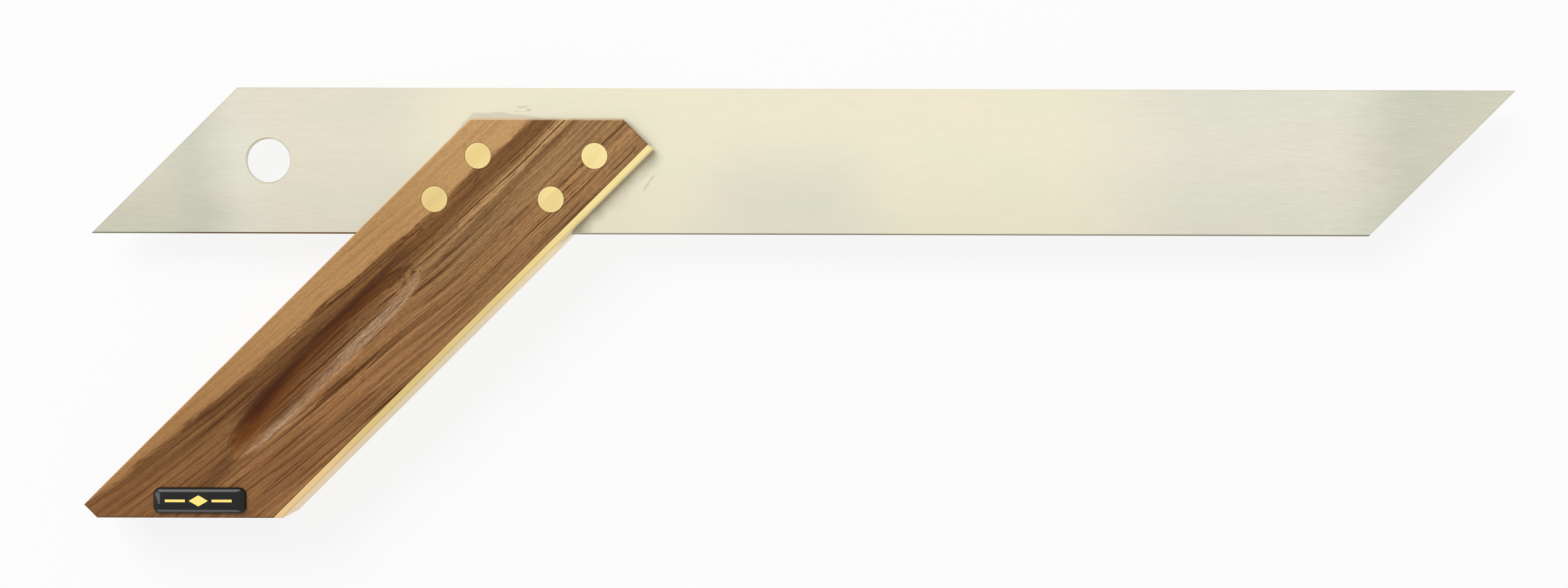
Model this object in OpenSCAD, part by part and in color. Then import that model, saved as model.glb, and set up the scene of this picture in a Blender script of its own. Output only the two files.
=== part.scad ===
// Mitre square: a steel blade held at 45 degrees in a walnut stock with a brass facing.
// The square lies flat, with +X along the blade and +Z out of the front face. Millimetres.

/* [Blade] */
// Length of each long edge of the blade
blade_len = 350; // [250:1:600]
// Width of the blade between its long edges
blade_w = 40; // [33:0.5:60]
// Thickness of the blade
blade_t = 2; // [1:0.1:4]
// Chamfer that eases the blade's outer edges
blade_ease = 0.4; // [0.1:0.05:0.45]
// Angle between the blade and the stock, and of the blade's ends
mitre_angle = 45; // [40:0.5:50]

/* [Hanging hole] */
// Diameter of the hole near the blade's left end
hang_d = 12; // [4:0.5:16]
// Distance along the blade from the mitred end to the hole's centre
hang_inset = 28.5; // [20:0.5:40]
// Chamfer that eases the rims of the hole
hang_ease = 0.3; // [0.1:0.05:0.45]

/* [Stock] */
// Overall width of the stock, with its brass facing
stock_w = 40.5; // [36:0.5:60]
// Thickness of the stock
stock_t = 20; // [14:0.5:30]
// Height of the stock's upper end above the blade's lower edge
stock_head = 31; // [28:0.5:33]
// Drop of the stock's foot below the blade's lower edge
foot_drop = 77; // [70:0.5:120]
// Distance along the blade's lower edge from its left tip to the brass face
face_x = 131.5; // [120:0.5:200]
// Length of the clipped corner at the upper end
clip_upper = 11.5; // [4:0.5:16]
// Length of the clipped corner at the foot
clip_lower = 5; // [1:0.5:8]
// Chamfer that eases the stock's outer edges
stock_ease = 0.4; // [0.1:0.05:1]
// Gap between the blade and the slot sawn for it, on each side
slot_fit = 0.05; // [0.02:0.01:0.1]

/* [Brass facing] */
// Thickness of the brass facing strip
facing_t = 1.8; // [1:0.1:4]

/* [Rivets] */
// Diameter of the rivets
rivet_d = 7; // [3:0.5:8]
// Gap between a rivet and its hole, on each side
rivet_fit = 0.05; // [0.02:0.01:0.1]
// Distance from the stock's bare side to the first column of rivets
rivet_inset = 8.5; // [6:0.5:10]
// Distance from the stock's brass face to the second column of rivets
rivet_face_inset = 9.8; // [8.5:0.1:12]
// Height of the upper row of rivets above the blade's lower edge
rivet_rise = 21; // [20:0.5:23]
// Distance along the stock between the two rows of rivets
rivet_pitch = 16.6; // [12:0.1:20]

/* [Finger grooves] */
// Length of a finger groove between its ends
groove_len = 74; // [56:0.5:78]
// Length of the groove's straight stretch
groove_run = 34; // [20:0.5:46]
// Width of a finger groove before its rims are rounded
groove_w = 11; // [6:0.5:14]
// Depth of a finger groove
groove_depth = 2.5; // [1:0.1:3]
// Radius that rounds the rims of a finger groove
groove_ease = 1.5; // [0.5:0.1:2.5]
// Distance along the stock from the foot's sharp corner to the groove's middle
groove_reach = 78.5; // [74:0.5:82]
// Distance from the stock's bare side to the groove's middle
groove_inset = 18.5; // [16:0.5:20]

/* [Label] */
// Length of the label along the foot
label_len = 25; // [12:0.5:30]
// Width of the label
label_w = 7; // [5:0.5:8]
// Corner radius of the label
label_r = 1.9; // [0.8:0.1:2.4]
// Thickness of the printed film
film_t = 0.3; // [0.1:0.05:0.6]
// Height of the clear dome over the film
dome_t = 1.5; // [0.5:0.1:2.5]
// Distance along the foot from its sharp corner to the label's middle
label_reach = 35; // [30:0.5:36]
// Height of the label's middle above the foot
label_rise = 4.8; // [4.4:0.1:8]

/* [Hidden] */
$fn = 96;

// Places worked out from the sizes above
end_run = blade_w / tan(mitre_angle);
end_gap = blade_len * sin(mitre_angle);
blade_z = (stock_t - blade_t) / 2;
side_x = face_x - stock_w / sin(mitre_angle);
foot_x = side_x - foot_drop / tan(mitre_angle);
stock_rise = stock_head + foot_drop;
clip_from = clip_lower / tan(mitre_angle);
clip_to = (stock_rise + (stock_w - clip_upper) * cos(mitre_angle)) / sin(mitre_angle);
hang_x = end_run / 2 + hang_inset;
rivet_gauge = stock_w - rivet_inset - rivet_face_inset;
label_x = foot_x + label_reach;
label_y = label_rise - foot_drop;

// Round-nosed cutter of the finger grooves, lifted out along an arc at each end
lift_run = (groove_len - groove_run) / 2;
nose_r = (groove_w * groove_w / 4 + groove_depth * groove_depth) / (2 * groove_depth);
lift_r = (lift_run * lift_run + groove_depth * groove_depth) / (2 * groove_depth);
lift_sweep = 2 * acos(1 - groove_depth / lift_r);
nose_up = nose_r - groove_depth;

// Rounding of a groove's rims: it meets the face at a slight angle, and bites a little into the nose
rim_angle = 6;
rim_bite = 0.004;
rim_down = groove_ease * cos(rim_angle);
rim_out = sqrt(pow(nose_r + groove_ease - rim_bite, 2) - pow(nose_up + rim_down, 2));
rim_half = rim_out - groove_ease * sin(rim_angle);
rim_depth = (nose_up + rim_down) * nose_r / (nose_r + groove_ease) - nose_up;

// The part's origin is under the middle of its outer box
left_x = min(0, foot_x + clip_from * cos(mitre_angle));
right_x = blade_len + end_run;
origin = [(left_x + right_x) / 2, (blade_w - foot_drop) / 2, 0];
// Longer than any piece, for cutters and bars that run past the ends
overrun = 2 * (right_x - left_x + stock_rise);

// Name, column and row of each rivet
RIVETS = [
  ["rivet_upper_left", 0, 0],
  ["rivet_upper_right", 1, 0],
  ["rivet_lower_left", 0, 1],
  ["rivet_lower_right", 1, 1]
];

// Moves from the blade's left tip, on the plane of the stock's back, to the part's origin
module laid_out() {
  translate(-origin) children();
}

// Moves to the foot's sharp corner, with X along the stock and the stock on the -Y side
module along_stock() {
  translate([foot_x, -foot_drop, 0]) rotate([0, 0, mitre_angle]) children();
}

// Endless bar along X, from y = 0 to its width, with all four long edges chamfered
module eased_bar(width, thick, ease) {
  rotate([90, 0, 90])
    linear_extrude(overrun, center = true)
      polygon([
        [ease, 0], [width - ease, 0], [width, ease], [width, thick - ease],
        [width - ease, thick], [ease, thick], [0, thick - ease], [0, ease]
      ]);
}

// Rectangle with round corners, centred
module rounded_rectangle(length, width, radius) {
  square([length - 2 * radius, width], center = true);
  square([length, width - 2 * radius], center = true);
  for (x = [-1, 1], y = [-1, 1])
    translate([x * (length / 2 - radius), y * (width / 2 - radius)]) circle(radius);
}

function rivet_place(column, row) =
  let (y = rivet_rise - row * rivet_pitch * sin(mitre_angle))
  let (across = rivet_inset + column * rivet_gauge)
  [side_x + y / tan(mitre_angle) + across / sin(mitre_angle), y, 0];

module rivet_holes() {
  for (rivet = RIVETS)
    translate(rivet_place(rivet[1], rivet[2]))
      translate([0, 0, -stock_t / 2])
        cylinder(d = rivet_d + 2 * rivet_fit, h = 2 * stock_t);
}

module hang_hole() {
  translate([hang_x, blade_w / 2, blade_z]) {
    translate([0, 0, -blade_t]) cylinder(d = hang_d, h = 3 * blade_t);
    for (face = [0, 1])
      translate([0, 0, face * blade_t])
        mirror([0, 0, 1 - face])
          translate([0, 0, -hang_ease])
            cylinder(r1 = hang_d / 2, r2 = hang_d / 2 + 2 * hang_ease, h = 2 * hang_ease);
  }
}

// Space of the blade in the stock, open at the upper end and at both sides
module blade_slot() {
  translate([-overrun / 2, -slot_fit, blade_z - slot_fit])
    cube([overrun, overrun, blade_t + 2 * slot_fit]);
}

// Outline of the stock with its facing: a parallelogram with two clipped corners
module stock_blank() {
  intersection() {
    along_stock() translate([0, -stock_w, 0]) eased_bar(stock_w, stock_t, stock_ease);
    translate([0, -foot_drop, 0]) eased_bar(stock_rise, stock_t, stock_ease);
    along_stock()
      translate([clip_from, 0, 0])
        rotate([0, 0, -90])
          eased_bar(clip_to - clip_from, stock_t, stock_ease);
  }
}

// The strip of the blank that is brass
module facing_zone() {
  along_stock()
    translate([-overrun / 2, facing_t - stock_w - overrun, -stock_t / 2])
      cube([overrun, overrun, 2 * stock_t]);
}

// Cross-section of a finger groove: a round nose, with rims that roll over to the face at y = 0
module groove_section() {
  difference() {
    union() {
      translate([0, nose_up]) circle(nose_r);
      translate([-rim_half, -rim_depth]) square([2 * rim_half, rim_depth + groove_ease]);
    }
    for (side = [-1, 1])
      translate([side * rim_out, -rim_down]) circle(groove_ease);
  }
}

// Hollow of a finger groove, in the plane of the face that it is cut into
module groove_cutter() {
  rotate([90, 0, 90])
    linear_extrude(groove_run, center = true)
      groove_section();
  for (end = [0, 1])
    mirror([end, 0, 0])
      translate([groove_run / 2, 0, lift_r - groove_depth])
        rotate([90, 90, 0])
          rotate_extrude(angle = lift_sweep)
            translate([lift_r - groove_depth, 0]) rotate(90) groove_section();
}

module finger_grooves() {
  along_stock()
    translate([groove_reach, -groove_inset, 0]) {
      translate([0, 0, stock_t]) groove_cutter();
      mirror([0, 0, 1]) groove_cutter();
    }
}

module blade() {
  color([0.88, 0.87, 0.81])
    laid_out()
      difference() {
        translate([0, 0, blade_z])
          intersection() {
            eased_bar(blade_w, blade_t, blade_ease);
            rotate([0, 0, mitre_angle])
              translate([0, -end_gap, 0])
                eased_bar(end_gap, blade_t, blade_ease);
          }
        hang_hole();
        rivet_holes();
      }
}

module stock() {
  color([0.55, 0.39, 0.25])
    laid_out()
      difference() {
        stock_blank();
        facing_zone();
        blade_slot();
        rivet_holes();
        finger_grooves();
      }
}

module brass_facing() {
  color([0.90, 0.78, 0.52])
    laid_out()
      difference() {
        intersection() {
          stock_blank();
          facing_zone();
        }
        blade_slot();
      }
}

module rivet(column, row) {
  color([0.93, 0.82, 0.52])
    laid_out()
      translate(rivet_place(column, row))
        cylinder(d = rivet_d, h = stock_t);
}

module label_film() {
  color([0.05, 0.05, 0.05])
    laid_out()
      translate([label_x, label_y, stock_t])
        linear_extrude(film_t)
          rounded_rectangle(label_len, label_w, label_r);
}

// Clear drop of resin: flat on top, with shoulders that fall to the film's edge
module label_dome() {
  color([0.75, 0.78, 0.80, 0.35])
    laid_out()
      translate([label_x, label_y, stock_t + film_t])
        hull()
          for (x = [-1, 1], y = [-1, 1])
            translate([x * (label_len / 2 - label_r), y * (label_w / 2 - label_r), 0])
              rotate_extrude($fn = 32)
                intersection() {
                  scale([label_r, dome_t]) circle(1);
                  square([label_r, dome_t]);
                }
}

blade();
stock();
brass_facing();
for (rivet = RIVETS)
  rivet(rivet[1], rivet[2]);
label_film();
label_dome();
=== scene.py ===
"""Looks of a mitre square: a steel blade riveted into a brass-faced walnut stock."""
import math

import bmesh
import bpy
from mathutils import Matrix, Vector


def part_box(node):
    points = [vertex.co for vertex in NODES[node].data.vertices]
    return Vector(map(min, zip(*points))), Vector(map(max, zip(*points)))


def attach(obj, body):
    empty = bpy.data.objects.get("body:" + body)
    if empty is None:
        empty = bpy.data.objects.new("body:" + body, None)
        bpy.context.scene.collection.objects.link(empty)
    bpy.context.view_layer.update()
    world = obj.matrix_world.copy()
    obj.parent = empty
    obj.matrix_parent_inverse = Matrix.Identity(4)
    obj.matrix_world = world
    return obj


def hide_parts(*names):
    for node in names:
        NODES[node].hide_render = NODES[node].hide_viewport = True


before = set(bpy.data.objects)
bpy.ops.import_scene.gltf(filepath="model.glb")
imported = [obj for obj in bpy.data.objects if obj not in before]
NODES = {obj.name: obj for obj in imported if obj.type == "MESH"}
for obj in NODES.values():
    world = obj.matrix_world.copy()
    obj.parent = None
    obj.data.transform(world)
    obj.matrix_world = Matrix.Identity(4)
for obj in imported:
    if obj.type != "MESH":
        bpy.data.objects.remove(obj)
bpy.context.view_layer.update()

# Sizes in metres, angles in radians
MM = 0.001
MITRE = math.radians(45)
STOCK_WIDTH = 40.5 * MM
FACING = 1.8 * MM
EASE = 0.4 * MM

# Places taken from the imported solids
RIVETS = ["rivet_upper_left", "rivet_upper_right", "rivet_lower_left", "rivet_lower_right"]
facing_low, facing_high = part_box("brass_facing")
stock_low, stock_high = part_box("stock")
blade_low, blade_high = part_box("blade")
film_low, film_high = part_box("label_film")
dome_low, dome_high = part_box("label_dome")
# Sharp corner of the foot, where the stock's own frame starts
FOOT = Vector((facing_low.x - (STOCK_WIDTH - FACING) / math.sin(MITRE), facing_low.y, stock_high.z))
# Left tip of the blade, where the blade's own frame starts
TIP = Vector((blade_low.x, blade_low.y, blade_high.z))

# Sizes and places in millimetres, as the materials use them
THICK = (stock_high.z - stock_low.z) / MM
WIDE = STOCK_WIDTH / MM
HEAD = stock_high.y / MM
BLADE_LENGTH = (blade_high.x - blade_low.x) / MM
# Width of the wood without its facing
BARE = (STOCK_WIDTH - FACING) / MM
# Where the clipped corner at the head cuts the stock off, along it
CLIP = (facing_high.y - FOOT.y) / math.sin(MITRE) / MM + BARE
# Width of an eased edge, with a little to spare
RIM = EASE / MM + 0.05
# Where the finger grooves lie, along the stock and across it
GROOVE_ALONG = (48, 112)
GROOVE_ACROSS = (12.6, 24.4)
# Width of a year's ring, and how far it shifts across for each millimetre upwards
RING_WIDTH = 2.9
RING_LEAN = 0.25

# Most of a noise lies between these two values
NOISE_LOW = 0.3
NOISE_HIGH = 0.7

# Camera that looks down on the square as the photograph does
PHOTO_WIDTH = 2576
FOCAL_PIXELS = 3500.6
SENSOR = 36.0
CAMERA_PLACE = (-4.77 * MM, 10.77 * MM, 594.7 * MM)
CAMERA_TILT = (math.radians(-0.832), math.radians(0.040), math.radians(0.149))

# Strength of the room's light, and the share of plain white in the floor as it is seen
ROOM_LIGHT = 0.47
FLOOR_WHITE = 0.86


def srgb(red, green, blue):
    """Colour as it shows on a screen, from 0 to 255, as a linear colour with alpha."""
    def linear(value):
        value /= 255
        if value <= 0.04045:
            return value / 12.92
        return ((value + 0.055) / 1.055) ** 2.4
    return (linear(red), linear(green), linear(blue), 1.0)


def oiled(red, green, blue):
    """Colour of wood under its oil, whose sheen adds a little white."""
    sheen = 0.0105
    darkest = 0.002
    return tuple(max(part - sheen, darkest) for part in srgb(red, green, blue)[:3]) + (1.0,)


def between(first, second, share):
    """Colour that lies a share of the way from the first to the second."""
    return tuple(start + (end - start) * share for start, end in zip(first, second))


class Surface:
    """Node tree of one material, with short calls for the nodes that it uses."""

    def __init__(self, name):
        self.material = bpy.data.materials.new(name)
        self.material.use_nodes = True
        self.tree = self.material.node_tree
        self.shader = self.tree.nodes["Principled BSDF"]

    def put(self, socket, value):
        """Links a socket to a value that is a node's output, or sets it to a constant."""
        if isinstance(value, bpy.types.NodeSocket):
            self.tree.links.new(value, socket)
        else:
            socket.default_value = value

    def set(self, **inputs):
        """Sets inputs of the shader by name, with _ for a space."""
        for name, value in inputs.items():
            self.put(self.shader.inputs[name.replace("_", " ")], value)

    def math(self, operation, first, second=0.0, third=0.0):
        """Result of one operation on numbers or outputs."""
        node = self.tree.nodes.new("ShaderNodeMath")
        node.operation = operation
        for socket, value in zip(node.inputs, (first, second, third)):
            self.put(socket, value)
        return node.outputs[0]

    def plus(self, first, *others):
        """Sum of two or more values."""
        for other in others:
            first = self.math("ADD", first, other)
        return first

    def times(self, first, *others):
        """Product of two or more values."""
        for other in others:
            first = self.math("MULTIPLY", first, other)
        return first

    def most(self, first, *others):
        """Largest of two or more values."""
        for other in others:
            first = self.math("MAXIMUM", first, other)
        return first

    def distance(self, x, y):
        """Distance from the origin in the plane of x and y."""
        return self.math("SQRT", self.plus(self.times(x, x), self.times(y, y)))

    def split(self, vector):
        """The three parts of a vector."""
        node = self.tree.nodes.new("ShaderNodeSeparateXYZ")
        self.put(node.inputs[0], vector)
        return node.outputs[0], node.outputs[1], node.outputs[2]

    def place(self, origin=(0, 0, 0), turn=0.0):
        """Coordinates in millimetres in a frame at origin that is turned about Z."""
        coords = self.tree.nodes.new("ShaderNodeTexCoord")
        mapping = self.tree.nodes.new("ShaderNodeMapping")
        mapping.vector_type = "TEXTURE"
        mapping.inputs["Location"].default_value = origin
        mapping.inputs["Rotation"].default_value = (0, 0, turn)
        mapping.inputs["Scale"].default_value = (MM, MM, MM)
        self.put(mapping.inputs["Vector"], coords.outputs["Object"])
        return self.split(mapping.outputs[0])

    def normal(self):
        """The three parts of the direction that the surface faces."""
        return self.split(self.tree.nodes.new("ShaderNodeNewGeometry").outputs["Normal"])

    def noise(self, coords, scale, detail, roughness=0.5):
        """Soft noise over three coordinates, each times its own scale."""
        vector = self.tree.nodes.new("ShaderNodeCombineXYZ")
        for socket, part, by in zip(vector.inputs, coords, scale):
            self.put(socket, self.times(part, by))
        node = self.tree.nodes.new("ShaderNodeTexNoise")
        self.put(node.inputs["Vector"], vector.outputs[0])
        node.inputs["Scale"].default_value = 1.0
        node.inputs["Detail"].default_value = detail
        node.inputs["Roughness"].default_value = roughness
        return node.outputs[0]

    def remap(self, value, low, high, to_low=0.0, to_high=1.0, smooth=False):
        """Value from low to high as one from to_low to to_high, and no further."""
        node = self.tree.nodes.new("ShaderNodeMapRange")
        node.interpolation_type = "SMOOTHSTEP" if smooth else "LINEAR"
        for socket, number in zip(node.inputs, (value, low, high, to_low, to_high)):
            self.put(socket, number)
        return node.outputs[0]

    def vary(self, noise, low, high):
        """Noise as a value that wanders between low and high."""
        return self.remap(noise, NOISE_LOW, NOISE_HIGH, low, high)

    def window(self, value, low, high, soft):
        """1 between low and high, fading out over a soft distance on either side."""
        rise = self.remap(value, low - soft, low, smooth=True)
        fall = self.remap(value, high + soft, high, smooth=True)
        return self.times(rise, fall)

    def ramp(self, value, stops, smooth=False):
        """Colours along a value, as a list of (place from 0 to 1, colour)."""
        node = self.tree.nodes.new("ShaderNodeValToRGB")
        node.color_ramp.interpolation = "EASE" if smooth else "LINEAR"
        elements = node.color_ramp.elements
        while len(elements) < len(stops):
            elements.new(0.5)
        for element, (place, colour) in zip(elements, stops):
            element.position = place
            element.color = colour
        self.put(node.inputs[0], value)
        return node.outputs[0]

    def mix(self, factor, first, second, blend="MIX"):
        """First colour with a share of the second."""
        node = self.tree.nodes.new("ShaderNodeMix")
        node.data_type = "RGBA"
        node.blend_type = blend
        self.put(node.inputs["Factor"], factor)
        # The colour sockets go by number, because other sockets have the same names
        self.put(node.inputs[6], first)
        self.put(node.inputs[7], second)
        return node.outputs[2]

    def shade(self, colour, by, factor=1.0):
        """Colour times a level or a tint."""
        return self.mix(factor, colour, by, "MULTIPLY")

    def bump(self, height, distance, strength):
        """Small relief, in which a height of 1 stands up by the distance."""
        node = self.tree.nodes.new("ShaderNodeBump")
        node.inputs["Strength"].default_value = strength
        node.inputs["Distance"].default_value = distance
        self.put(node.inputs["Height"], height)
        self.put(self.shader.inputs["Normal"], node.outputs[0])


def stock_frame(look):
    """Millimetres along the stock from its foot, across it from its bare side, up from its front."""
    along, left, up = look.place(FOOT, MITRE)
    return along, look.times(left, -1.0), up


def below_faces(look, up):
    """Millimetres below the nearer of the stock's two faces."""
    return look.math("SUBTRACT", THICK / 2, look.math("ABSOLUTE", look.plus(up, THICK / 2)))


class Timber:
    """Where the stock's wood has its grain, its light band, its lines and its pores."""

    def __init__(self, look):
        self.look = look
        self.along, self.across, self.up = stock_frame(look)
        self.sunk = below_faces(look, self.up)
        self.grain = self.leaning_grain()
        ragged = self.noise((0.06, 0.6, 0.6), detail=5.0, roughness=0.7)
        self.figure = look.plus(self.grain, look.vary(ragged, -1.0, 1.0))
        straight = look.math("MULTIPLY_ADD", self.up, -RING_LEAN, self.across)
        self.straight = look.plus(straight, look.vary(ragged, -0.5, 0.5))
        self.band = self.light_band()
        # Lines are calm in the light band and near the foot, and strongest beside the groove
        self.calm = look.remap(self.band, 0.0, 1.0, 1.0, 0.2)
        self.from_foot = look.remap(self.along, 18, 48, 0.65, 1.0)
        to_head = look.remap(self.along, 105, 145, 1.0, 0.35)
        self.lively = look.times(self.calm, self.from_foot, to_head)
        # All but the rings fade on end grain
        self.end = self.end_grain()
        self.lengthwise = look.remap(self.end, 0.0, 1.0, 1.0, 0.4)
        self.fibres = self.noise((0.03, 2.0, 2.0), detail=4.0, roughness=0.55)
        self.grit = self.noise((0.7, 4.5, 4.5), detail=2.0, roughness=0.6)
        self.pores = self.noise((0.25, 5.5, 5.5), detail=1.0)
        dense = self.noise((0.014, 0.3, 0.3), detail=3.0)
        dense = look.remap(dense, 0.36, 0.62, 0.35, 1.0)
        self.threads = self.dark_threads(dense)
        self.dashes = self.dark_dashes(dense)

    def noise(self, scale, detail, roughness=0.5):
        """Noise drawn out along the grain."""
        return self.look.noise((self.along, self.grain, self.up), scale, detail, roughness)

    def leaning_grain(self):
        """Distance across the grain, which leans towards the facing near the foot."""
        look = self.look
        reach = 60
        shift = 12.0
        lean = look.math("EXPONENT", look.times(self.along, -1 / reach))
        lean = look.math("MULTIPLY_ADD", lean, shift, -shift)
        bend = look.remap(self.along, 85, 135, 0.0, -2.0, smooth=True)
        grain = look.plus(self.across, lean, bend, look.times(self.up, -RING_LEAN))
        wave = look.noise((self.along, grain, self.up), (0.012, 0.06, 0.06), detail=2.0)
        return look.plus(grain, look.vary(wave, -0.7, 0.7))

    def light_band(self):
        """1 in the light wood along the bare side, less at the foot, else 0."""
        look = self.look
        edge = look.plus(self.figure, look.remap(self.along, 10, 40, -0.7, 0.0))
        band = look.remap(edge, -1.1, -2.1, smooth=True)
        return look.times(band, look.remap(self.along, 0, 15, 0.6, 1.0))

    def end_grain(self):
        """1 on the faces that cut across the grain, else 0."""
        look = self.look
        x, y, _ = look.normal()
        lengthwise = look.times(look.plus(x, y), math.cos(MITRE))
        return look.remap(look.math("ABSOLUTE", lengthwise), 0.4, 0.6)

    def dark_threads(self, dense):
        """Long dark threads where the pores are dense."""
        look = self.look
        threads = self.noise((0.03, 1.1, 1.1), detail=1.5)
        threads = look.remap(threads, 0.55, 0.65, smooth=True)
        return look.times(threads, dense, self.calm, self.from_foot, self.lengthwise)

    def dark_dashes(self, dense):
        """Short open pores, more of them towards the head and fewer in the light band."""
        look = self.look
        dashes = look.times(look.remap(self.pores, 0.62, 0.7, smooth=True), dense)
        to_head = look.remap(self.along, 60, 130, 0.65, 0.95)
        return look.times(dashes, to_head, look.remap(self.band, 0.0, 1.0, 1.0, 0.4))


def heartwood(look, wood):
    """Brown streaks by distance across the grain, paler towards the head."""
    along, figure = wood.along, wood.figure
    dark = oiled(114, 80, 51)
    light = oiled(149, 108, 71)
    # Millimetres across the grain, and the share of light wood there
    streaks = [
        (-2, 0.3), (0, 0.25), (1.5, 0), (3, 0), (6.5, 0.7), (10, 0.25), (12.5, 0.25),
        (16, 0.7), (19, 1), (22.5, 0.65), (25.5, 0.8), (29, 0.55), (32, 1)]
    first, last = streaks[0][0], streaks[-1][0]
    stops = [((place - first) / (last - first), between(dark, light, share)) for place, share in streaks]
    colour = look.ramp(look.remap(figure, first, last), stops)
    paling = look.times(look.remap(along, 70, 175, 0.0, 0.3), look.remap(figure, 2.0, 4.5))
    middle = look.times(look.window(figure, 8.5, 13.5, 2.0), look.remap(along, 105, 125, 0.0, 0.2))
    colour = look.mix(look.plus(paling, middle), colour, oiled(180, 145, 101))
    # An even brown at the foot, lighter beside the light band and darker towards the facing
    colour = look.mix(look.remap(along, 40, 8, 0.0, 0.45), colour, oiled(132, 93, 61))
    lighter = look.times(look.remap(along, 60, 42, 0.0, 0.3), look.remap(figure, 2.5, 0.5))
    colour = look.mix(lighter, colour, oiled(150, 110, 74))
    darker = look.times(look.window(along, 36, 52, 14), look.remap(figure, 14, 20), 0.13)
    return look.mix(darker, colour, oiled(76, 48, 34))


def single_streaks(look, wood, colour):
    """A tan streak that runs out to the head, and two dark ones."""
    along, straight = wood.along, wood.straight
    from_tan = look.plus(straight, look.math("MULTIPLY_ADD", along, 0.018, -21.3))
    tan = look.times(look.window(from_tan, -0.6, 0.6, 1.2), look.remap(along, 112, 165, 0.0, 0.85))
    colour = look.mix(tan, colour, oiled(190, 151, 105))
    # One lies under the tan streak, a short one runs from the label to the groove
    under = look.times(look.window(from_tan, 1.5, 2.6, 0.8), look.remap(along, 112, 135, 0.0, 0.5))
    short = look.times(look.window(straight, 18.4, 20.4, 1.2), look.window(along, 28, 40, 5), 0.5)
    return look.mix(look.most(under, short), colour, oiled(84, 56, 38))


def sapwood(look, wood, colour):
    """Light band along the bare side."""
    light = look.ramp(look.remap(wood.along, 40, 150), [
        (0.0, oiled(162, 120, 78)), (0.35, oiled(174, 133, 88)), (0.7, oiled(177, 136, 90)),
        (1.0, oiled(187, 147, 100))])
    return look.mix(wood.band, colour, light)


def year_rings(look, wood, colour):
    """Dark late wood at the end of each year's ring, which fades in and out along the stock."""
    drift = wood.noise((0.007, 0.17, 0.17), detail=3.0)
    ring = look.times(look.plus(wood.grain, look.vary(drift, -2.2, 2.2)), 1 / RING_WIDTH)
    late = look.math("POWER", look.math("FRACT", ring), 3.5)
    fade = look.noise((wood.along, look.math("FLOOR", ring), wood.up), (0.016, 3.7, 0.02), detail=2.0)
    late = look.times(late, look.remap(fade, 0.35, 0.52, 0.0, 0.9), wood.lively)
    return look.mix(late, colour, oiled(80, 50, 30))


def long_lines(look, wood, colour):
    """Broad streaks, fine fibres and long dark threads."""
    broad = wood.noise((0.011, 0.7, 0.7), detail=3.0, roughness=0.6)
    broad = look.times(look.vary(broad, -0.32, 0.32), wood.lively, wood.lengthwise)
    broad = look.plus(broad, 1.07)
    fine = look.times(look.vary(wood.fibres, -0.26, 0.28), look.remap(wood.along, 105, 145, 1.0, 1.35))
    fine = look.math("MULTIPLY_ADD", fine, wood.calm, 1.1)
    colour = look.shade(colour, look.times(broad, fine))
    return look.mix(look.times(wood.threads, 0.85), colour, oiled(80, 50, 30))


def short_marks(look, wood, colour):
    """Grit, short dark pores, pale specks of painted sheen, and a darker tone on end grain."""
    speckled = look.remap(wood.band, 0.0, 1.0, 1.0, 0.7)
    speckled = look.times(speckled, look.remap(wood.along, 40, 130, 0.65, 1.0))
    colour = look.shade(colour, look.vary(wood.grit, 0.76, 1.28), speckled)
    colour = look.mix(wood.dashes, colour, oiled(60, 36, 22))
    # Painted sheen of cut fibres, as pale specks
    sheen_flecks = look.times(look.remap(wood.pores, 0.33, 0.27, smooth=True), wood.calm)
    colour = look.mix(look.times(sheen_flecks, 0.14), colour, oiled(208, 176, 138))
    return look.mix(look.times(wood.end, 0.2), colour, oiled(70, 44, 28))


def groove_marks(look, wood, colour):
    """In the grooves the wall away from the facing is darkened by oil and by painted shade, and the other
    is dusty and carries a painted highlight.
    """
    along, across = wood.along, wood.across
    inside = look.times(look.remap(wood.sunk, 0.0, 0.9, smooth=True), look.window(along, *GROOVE_ALONG, 8))
    inside = look.times(inside, look.window(across, *GROOVE_ACROSS, 0.4))
    broken = look.noise((along, across, wood.up), (0.13, 1.6, 1.6), detail=6.0, roughness=0.8)
    from_wall = look.plus(across, look.remap(along, 54, 76, -2.2, 0.8), look.vary(broken, -0.7, 0.7))
    # Oil stain and painted shade on the wall that faces away from the light
    stain_and_shade = look.times(inside, look.remap(from_wall, 18.6, 14.4, smooth=True), 0.72)
    colour = look.mix(stain_and_shade, colour, oiled(120, 68, 32))
    # Painted shade: a darker band on that wall near its rim
    wall = look.times(look.remap(from_wall, 15.6, 13.4, smooth=True), look.window(along, 57, 108, 12), 0.6)
    wall = look.times(wall, look.remap(across, 11.6, 12.3, smooth=True))
    colour = look.mix(wall, colour, oiled(66, 33, 12))
    # Dust and a painted highlight on the wall that faces the light; they lie nearer the facing towards the
    # foot, with a thin stretch between
    from_dust_and_highlight = look.math("SUBTRACT", across, look.remap(along, 62, 86, 22.4, 21.3))
    dust_and_highlight = look.times(inside, look.window(from_dust_and_highlight, -0.7, 0.7, 2.0))
    dust_and_highlight = look.times(dust_and_highlight, look.remap(broken, 0.4, 0.62, 0.12, 1.1))
    dust_and_highlight = look.times(dust_and_highlight, look.remap(look.window(along, 67, 77, 6), 0.0, 1.0, 0.7, 0.45))
    dust_and_highlight = look.times(dust_and_highlight, look.remap(wood.grit, 0.35, 0.6, 0.5, 1.0))
    dust_and_highlight = look.times(dust_and_highlight, look.math("SUBTRACT", 1.0, wood.dashes))
    return look.mix(dust_and_highlight, colour, oiled(200, 172, 144))


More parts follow.
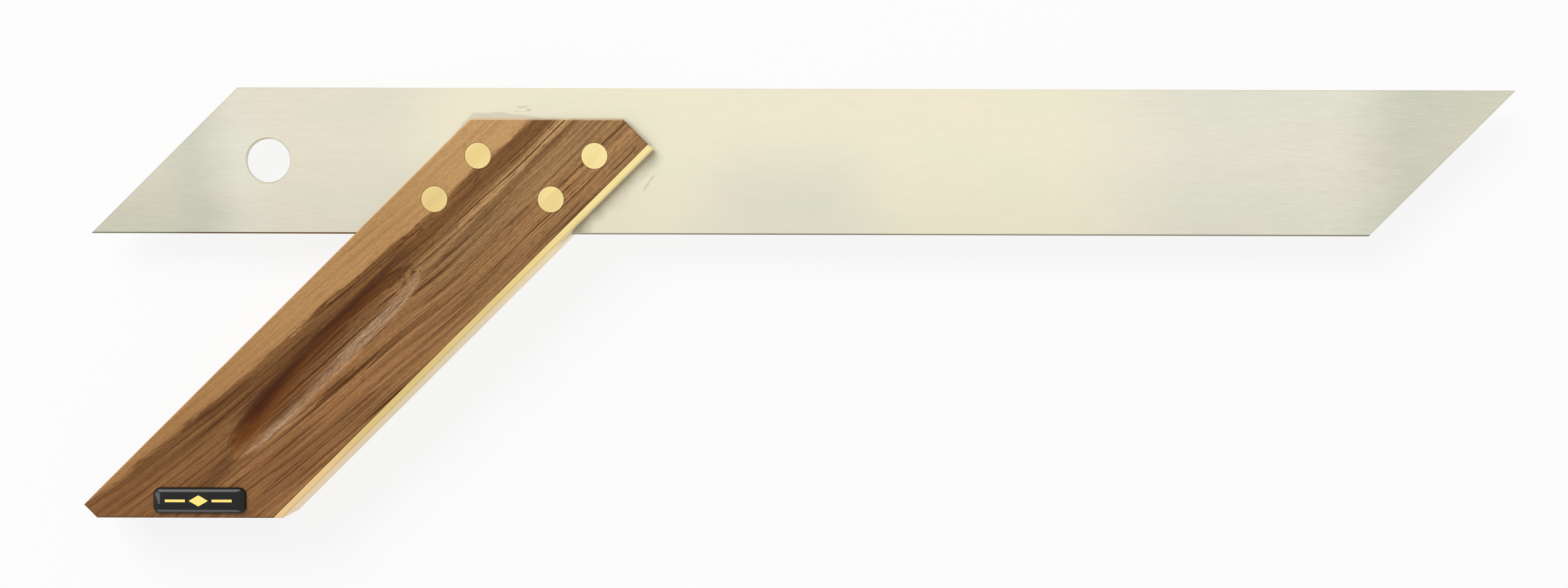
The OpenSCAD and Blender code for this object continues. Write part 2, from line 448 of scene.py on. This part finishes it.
def joint_lines(look, wood, colour):
    """Dark glue line at the facing, and dark rings round the rivets."""
    gap = look.remap(wood.across, BARE - 0.3, BARE - 0.05)
    for name in RIVETS:
        low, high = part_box(name)
        radius = (high.x - low.x) / 2 / MM
        x, y, _ = look.place((low + high) / 2)
        ring = look.remap(look.distance(x, y), radius + 0.3, radius + 0.1, 0.0, 0.6)
        gap = look.most(gap, ring)
    return look.mix(look.times(gap, 0.6), colour, oiled(60, 38, 22))


def head_edge_highlight(look, wood, colour):
    """Painted highlight along the eased edge at the head."""
    fade = 0.15
    _, y, _ = look.place()
    at_head = look.remap(y, HEAD - RIM, HEAD - RIM + fade)
    # Painted highlight on the chamfer at the head
    highlight_share = look.times(at_head, look.remap(wood.sunk, RIM, RIM - fade), 0.5)
    return look.mix(highlight_share, colour, oiled(226, 204, 172))


def walnut():
    """Oiled walnut: a light band along the bare side, dark streaks beside it, open pores."""
    look = Surface("walnut")
    wood = Timber(look)
    colour = heartwood(look, wood)
    colour = single_streaks(look, wood, colour)
    colour = sapwood(look, wood, colour)
    colour = year_rings(look, wood, colour)
    colour = long_lines(look, wood, colour)
    colour = short_marks(look, wood, colour)
    colour = groove_marks(look, wood, colour)
    colour = joint_lines(look, wood, colour)
    colour = head_edge_highlight(look, wood, colour)
    look.set(Base_Color=colour, Roughness=look.vary(wood.fibres, 0.6, 0.46), Specular_IOR_Level=0.15)
    open_grain = look.most(wood.dashes, wood.threads)
    look.bump(look.math("SUBTRACT", look.times(wood.fibres, 0.5), open_grain), 0.05 * MM, 0.6)
    return look.material


def brass():
    """Brass sanded along the stock together with the wood."""
    look = Surface("brass")
    # Colour of the painted shade and painted reflection on the facing
    painted_brass_shade = srgb(132, 118, 86)
    along, across, up = stock_frame(look)
    patch = look.noise((along, across, up), (0.03, 0.15, 0.15), detail=2.0)
    tone = look.plus(along, look.vary(patch, -20, 20))
    colour = look.ramp(look.remap(tone, 40, 180), [
        (0.05, srgb(236, 202, 146)), (0.3, srgb(224, 197, 132)), (0.5, srgb(228, 202, 138)),
        (0.7, srgb(239, 213, 144)), (0.95, srgb(252, 231, 164))])
    lines = look.noise((along, across, up), (0.06, 6.0, 6.0), detail=4.0, roughness=0.6)
    colour = look.shade(colour, look.vary(lines, 0.9, 1.06))
    # A fine painted dark line along the eased edges of the working face, which stands in for their shade
    sunk = below_faces(look, up)
    line = look.times(look.remap(across, WIDE - 0.5, WIDE - 0.35), look.remap(sunk, 0.5, 0.35), 0.15)
    colour = look.mix(line, colour, painted_brass_shade)
    # Painted shade and painted reflection of the blade on the working face, in the corner above the blade
    x, y, z = look.place(TIP)
    ragged = look.noise((x, y, z), (0.2, 0.2, 0.3), detail=4.0, roughness=0.6)
    reach = look.plus(y, look.vary(ragged, -3.0, 3.0))
    at_face = look.remap(across, WIDE - 0.3, WIDE - 0.1)
    corner = look.times(at_face, look.remap(reach, -6.0, 1.0, smooth=True))
    corner = look.times(corner, look.window(z, -0.5, 7.0, 1.5), look.remap(z, 8.0, 0.0, 0.6, 0.85))
    colour = look.mix(corner, colour, painted_brass_shade)
    look.set(Base_Color=colour, Metallic=1.0, Roughness=look.vary(lines, 0.26, 0.36))
    look.bump(lines, 0.02 * MM, 0.35)
    return look.material


def tone_and_painted_reflection(look, along, across, up):
    """Soft tones along the blade, partly painted reflection of the room: grey at its ends, warm in its
    middle.
    """
    grey = srgb(204, 203, 186)
    dull = srgb(210, 207, 188)
    cool = srgb(223, 220, 204)
    rosy = srgb(225, 219, 200)
    warm = srgb(235, 229, 204)
    # Millimetres from the left tip, and the tone there
    tones = [
        (0, dull), (18, dull), (27, grey), (42, cool), (48, rosy), (78, rosy),
        (105, warm), (260, warm), (310, cool), (340, cool), (362, grey), (390, dull)]
    stops = [(place / BLADE_LENGTH, tone) for place, tone in tones]
    drift = look.noise((along, across, up), (0.012, 0.03, 0.1), detail=2.0)
    wavering = look.plus(along, look.vary(drift, -4, 4))
    colour = look.ramp(look.remap(wavering, 0, BLADE_LENGTH), stops, smooth=True)
    # Painted reflection: lighter towards the upper edge, darker towards the lower
    colour = look.shade(colour, look.remap(across, 0, 24, 0.955, 1.035))
    # Paler in the middle of the left end
    pale = look.times(look.window(across, 14, 24, 8), look.window(along, 0, 46, 10))
    colour = look.shade(colour, look.remap(pale, 0.0, 1.0, 1.0, 1.035))
    # A greyer patch in the lower half, right of the stock
    patch = look.times(look.window(wavering, 182, 198, 26), look.remap(across, 34, 6, smooth=True), 0.85)
    return look.mix(patch, colour, srgb(220, 218, 200))


def blade_marks_and_shade(look, across):
    """Share of grey on the blade: painted shade round the stock, old polish round its corner, grime and
    painted shade along the working face, painted shade and dark reflection along the lower edge, and
    scuffs.
    """
    stock_along, stock_across, _ = stock_frame(look)
    x, y, z = look.place()
    ragged = look.noise((x, y, z), (0.13, 0.13, 0.13), detail=3.0)
    beside_face = look.plus(stock_across, -WIDE)
    beside_bare = look.times(stock_across, -1.0)
    outside = look.most(beside_face, beside_bare, look.plus(y, -HEAD), look.plus(stock_along, -CLIP))
    # Painted shade in a thin band round the stock
    line = look.times(look.remap(outside, 1.2, 0.1), 0.2)
    # Old polish round the stock's upper left corner
    corner = Vector((FOOT.x + stock_high.y - FOOT.y + 4 * MM, stock_high.y, 0))
    corner_x, corner_y, _ = look.place(corner)
    reach = look.distance(corner_x, corner_y)
    width = look.plus(look.remap(reach, 18, 3, 1.0, 2.5), look.vary(ragged, -0.4, 0.4))
    smear = look.remap(look.math("SUBTRACT", width, outside), 0.0, 0.4)
    near = look.most(look.remap(reach, 32, 12), look.remap(stock_across, 2, -1, 0.0, 0.9))
    smear = look.times(smear, look.remap(outside, 0.3, 0.6), near, 0.2)
    # Grime and painted shade along the working face, with a darker ragged line close to it that is painted
    # contact shadow and painted reflection of the facing
    darkest_dirt_and_shade = 0.52
    spread = look.plus(beside_face, look.vary(ragged, -1.6, 1.6))
    close = look.math("MULTIPLY_ADD", spread, 0.5, look.times(beside_face, 0.5))
    dirt_and_shade = look.most(look.remap(spread, 4.5, 0.0), look.remap(close, 1.4, 0.6, smooth=True))
    dirt_and_shade = look.times(dirt_and_shade, look.remap(beside_face, -0.2, 0.0))
    dirt_and_shade = look.times(dirt_and_shade, look.remap(stock_along, CLIP + 1, CLIP - 1), darkest_dirt_and_shade)
    # Painted shade and dark reflection along the blade's lower edge
    edge = look.times(look.remap(across, 0.46, 0.3), 0.8)
    return look.most(line, smear, dirt_and_shade, edge, scuffs(look, x, y, z))


def scuffs(look, x, y, z):
    """Short scratches on the blade: level ones over the stock's head, a slanting one beside it."""
    dashes = look.noise((x, y, z), (0.5, 2.2, 1.0), detail=2.0)
    level = look.times(look.window(x, -78.5, -75, 1), look.window(y, HEAD + 2.7, HEAD + 4.1, 0.5),
                       look.remap(dashes, 0.5, 0.62), 0.28)
    slant_place = (-42.3 * MM, 32.5 * MM, 0)
    slant = math.radians(55)
    along, across, up = look.place(slant_place, slant)
    broken = look.noise((along, across, up), (0.6, 3.0, 1.0), detail=2.0)
    slanting = look.times(look.window(along, -2.2, 2.2, 0.8), look.window(across, -0.2, 0.2, 0.2),
                          look.remap(broken, 0.35, 0.55), 0.3)
    return look.most(level, slanting)


def steel():
    """Pale stainless steel brushed along the blade."""
    look = Surface("steel")
    place = look.place(TIP)
    along, across, up = place
    colour = tone_and_painted_reflection(look, along, across, up)
    lines = look.noise(place, (0.03, 6.0, 6.0), detail=5.0, roughness=0.65)
    strokes = look.noise(place, (0.2, 3.4, 3.4), detail=3.0, roughness=0.65)
    mottle = look.noise(place, (0.07, 0.6, 0.6), detail=3.0, roughness=0.6)
    # The brushing and a faint mottling show least here, and most at the ends
    calmest = 180
    shown = look.remap(look.math("ABSOLUTE", look.plus(along, -calmest)), 90, 170, 0.35, 1.0)
    for noise, low, high in ((lines, -0.035, 0.03), (strokes, -0.06, 0.06), (mottle, -0.025, 0.025)):
        colour = look.shade(colour, look.math("MULTIPLY_ADD", look.vary(noise, low, high), shown, 1.0))
    hue = look.noise(place, (0.03, 0.07, 0.07), detail=2.0)
    tint = look.ramp(hue, [(0.35, (0.98, 1.0, 0.99, 1)), (0.65, (1.015, 0.995, 1.0, 1))])
    colour = look.shade(colour, tint)
    # Grey of the marks and of the painted shade
    colour = look.mix(blade_marks_and_shade(look, across), colour, srgb(112, 107, 92))
    look.set(Base_Color=colour, Metallic=1.0, Roughness=look.vary(lines, 0.24, 0.33))
    look.set(Specular_Tint=(0.7, 0.7, 0.68, 1))
    look.bump(lines, 0.02 * MM, 0.15)
    return look.material


def printed(look):
    """Black print with a plain gold lozenge between two bars, and the grain of its foil."""
    lozenge_x, lozenge_y = 2.6, 1.5
    bar_start, bar_end = 3.6, 9.0
    bar_half = 0.35
    place = look.place((film_low + film_high) / 2)
    far_x = look.math("ABSOLUTE", place[0])
    far_y = look.math("ABSOLUTE", place[1])
    lozenge = look.plus(look.times(far_x, 1 / lozenge_x), look.times(far_y, 1 / lozenge_y))
    lozenge = look.math("LESS_THAN", lozenge, 1.0)
    bar = look.times(look.math("LESS_THAN", far_y, bar_half), look.math("LESS_THAN", far_x, bar_end))
    bar = look.times(bar, look.math("GREATER_THAN", far_x, bar_start))
    grains = look.noise(place, (6.0, 6.0, 6.0), detail=2.0)
    black = look.ramp(grains, [(0.35, srgb(10, 10, 11)), (0.65, srgb(18, 17, 17))])
    foil = look.ramp(grains, [(0.35, srgb(192, 162, 78)), (0.65, srgb(216, 191, 108))])
    return look.mix(look.most(lozenge, bar), black, foil), grains


def label_film():
    """Printed film, dull until the resin covers it."""
    look = Surface("label_film")
    colour, grains = printed(look)
    look.set(Base_Color=colour, Roughness=look.vary(grains, 0.35, 0.5))
    return look.material


def label_resin():
    """Glossy resin with the film's print, which is what a clear dome shows from outside."""
    look = Surface("label_resin")
    colour, _ = printed(look)
    look.set(Base_Color=colour, Roughness=0.05, IOR=1.32)
    return look.material


def dress(material, *names):
    """Gives CAD nodes a material."""
    for name in names:
        NODES[name].material_slots[0].material = material


def rounded_outline(half_x, half_y, radius, steps):
    """Points round a rectangle with round corners, counter-clockwise."""
    points = []
    for quarter in range(4):
        turn = quarter * math.pi / 2
        sign_x = 1 if quarter in (0, 3) else -1
        sign_y = 1 if quarter in (0, 1) else -1
        for step in range(steps + 1):
            angle = turn + step / steps * math.pi / 2
            x = sign_x * (half_x - radius) + radius * math.cos(angle)
            y = sign_y * (half_y - radius) + radius * math.sin(angle)
            points.append((x, y))
    return points


def dome_loops(mesh):
    """Rings of points up the dome, from a rounded rim to a crowned top."""
    middle = (dome_low + dome_high) / 2
    half_x = (dome_high.x - dome_low.x) / 2
    half_y = (dome_high.y - dome_low.y) / 2
    height = dome_high.z - dome_low.z
    corner = 1.9 * MM
    least_corner = 0.02 * MM
    rim = 0.5 * MM
    # How far the lowest ring sinks, so that no gap shows under the dome
    sink = 0.05 * MM
    rings = 30
    corner_steps = 8
    # Share of the half width that the rings close in by, and of that inset that the corners do
    reach = 0.98
    corner_share = 0.6
    loops = []
    for ring in range(rings + 1):
        inset = half_y * reach * (1 - math.cos(ring / rings * math.pi / 2))
        round_off = 1 - min(inset / rim, 1.0)
        rise = rim * math.sqrt(1 - round_off ** 2) + (height - rim) * (1 - (1 - inset / half_y) ** 3)
        radius = max(corner - inset * corner_share, least_corner)
        outline = rounded_outline(half_x - inset, half_y - inset, radius, corner_steps)
        z = dome_low.z + rise - (sink if ring == 0 else 0)
        loops.append([mesh.verts.new((middle.x + x, middle.y + y, z)) for x, y in outline])
    return loops


def label_dome():
    """Drop of resin on the film, in place of the solid of that name."""
    mesh = bmesh.new()
    loops = dome_loops(mesh)
    for lower, upper in zip(loops, loops[1:]):
        for index in range(len(lower)):
            after = (index + 1) % len(lower)
            mesh.faces.new((lower[index], lower[after], upper[after], upper[index]))
    mesh.faces.new(loops[-1])
    mesh.faces.new(list(reversed(loops[0])))
    for face in mesh.faces:
        face.smooth = True
    data = bpy.data.meshes.new("label_dome_resin")
    mesh.to_mesh(data)
    mesh.free()
    dome = bpy.data.objects.new("label_dome_resin", data)
    bpy.context.scene.collection.objects.link(dome)
    data.materials.append(label_resin())
    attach(dome, "root")
    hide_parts("label_dome")
    return dome


def seen_directly(tree):
    """Output that is 1 for rays from the camera, in mirrors and through glass, else 0."""
    path = tree.nodes.new("ShaderNodeLightPath")
    total = path.outputs["Is Camera Ray"]
    for name in ("Is Glossy Ray", "Is Transmission Ray"):
        most = tree.nodes.new("ShaderNodeMath")
        most.operation = "MAXIMUM"
        tree.links.new(total, most.inputs[0])
        tree.links.new(path.outputs[name], most.inputs[1])
        total = most.outputs[0]
    return total


def lay_floor():
    """Pale floor that shows white and keeps the shadow."""
    bpy.ops.mesh.primitive_plane_add(size=6.0, location=(0, 0, 0))
    floor = bpy.context.object
    floor.name = "floor"
    material = bpy.data.materials.new("floor")
    material.use_nodes = True
    tree = material.node_tree
    tree.nodes.clear()
    diffuse = tree.nodes.new("ShaderNodeBsdfDiffuse")
    diffuse.inputs["Color"].default_value = (0.9, 0.9, 0.9, 1)
    glow = tree.nodes.new("ShaderNodeEmission")
    glow.inputs["Strength"].default_value = 1.0
    share = tree.nodes.new("ShaderNodeMath")
    share.operation = "MULTIPLY"
    share.inputs[1].default_value = FLOOR_WHITE
    tree.links.new(seen_directly(tree), share.inputs[0])
    mixer = tree.nodes.new("ShaderNodeMixShader")
    tree.links.new(share.outputs[0], mixer.inputs[0])
    tree.links.new(diffuse.outputs[0], mixer.inputs[1])
    tree.links.new(glow.outputs[0], mixer.inputs[2])
    output = tree.nodes.new("ShaderNodeOutputMaterial")
    tree.links.new(mixer.outputs[0], output.inputs["Surface"])
    floor.data.materials.append(material)


def hang_softbox(name, place, target, size, power):
    """Rectangular area lamp that points at a target."""
    lamp = bpy.data.lights.new(name, "AREA")
    lamp.shape = "RECTANGLE"
    lamp.size, lamp.size_y = size
    lamp.energy = power
    softbox = bpy.data.objects.new(name, lamp)
    bpy.context.scene.collection.objects.link(softbox)
    softbox.location = place
    softbox.rotation_euler = (Vector(target) - Vector(place)).to_track_quat("-Z", "Y").to_euler()
    return softbox


def hang_lights():
    """Even room light and one softbox from the upper left of the photograph."""
    world = bpy.data.worlds.new("studio")
    bpy.context.scene.world = world
    world.use_nodes = True
    tree = world.node_tree
    background = tree.nodes["Background"]
    background.inputs["Color"].default_value = (1.0, 1.0, 1.0, 1)
    level = tree.nodes.new("ShaderNodeMapRange")
    level.inputs["To Min"].default_value = ROOM_LIGHT
    level.inputs["To Max"].default_value = 1.0
    tree.links.new(seen_directly(tree), level.inputs["Value"])
    tree.links.new(level.outputs[0], background.inputs["Strength"])
    softbox = hang_softbox("softbox", place=(-1.3, 1.65, 1.92), target=(-0.05, 0.0, 0.02),
                           size=(1.6, 1.6), power=58.0)
    # The metals mirror the white room and not the lamp, so that they don't burn out
    softbox.visible_glossy = False


def light_label(dome):
    """Softboxes round the label that light its dome alone."""
    lit = bpy.data.collections.new("lit_by_label_softboxes")
    lit.objects.link(dome)
    target = (dome_low + dome_high) / 2
    for name, side, size, power in (
            ("label_softbox_upper", (-0.25, 0.75, 0.61), (0.9, 0.48), 9.0),
            ("label_softbox_lower", (-0.25, -0.86, 0.45), (0.9, 0.36), 4.0),
            ("label_softbox_left", (-0.66, 0.12, 0.62), (0.45, 0.6), 4.0)):
        softbox = hang_softbox(name, target + Vector(side), target, size, power)
        softbox.light_linking.receiver_collection = lit


def set_camera():
    """Camera that frames the square as the photograph does."""
    data = bpy.data.cameras.new("camera")
    data.sensor_width = SENSOR
    data.lens = FOCAL_PIXELS / PHOTO_WIDTH * SENSOR
    data.clip_start = 0.01
    camera = bpy.data.objects.new("camera", data)
    camera.location = CAMERA_PLACE
    camera.rotation_euler = CAMERA_TILT
    bpy.context.scene.collection.objects.link(camera)
    bpy.context.scene.camera = camera


set_camera()
lay_floor()
hang_lights()
dress(walnut(), "stock")
dress(brass(), "brass_facing", *RIVETS)
dress(steel(), "blade")
dress(label_film(), "label_film")
light_label(label_dome())

bpy.context.scene.view_settings.view_transform = "Standard"
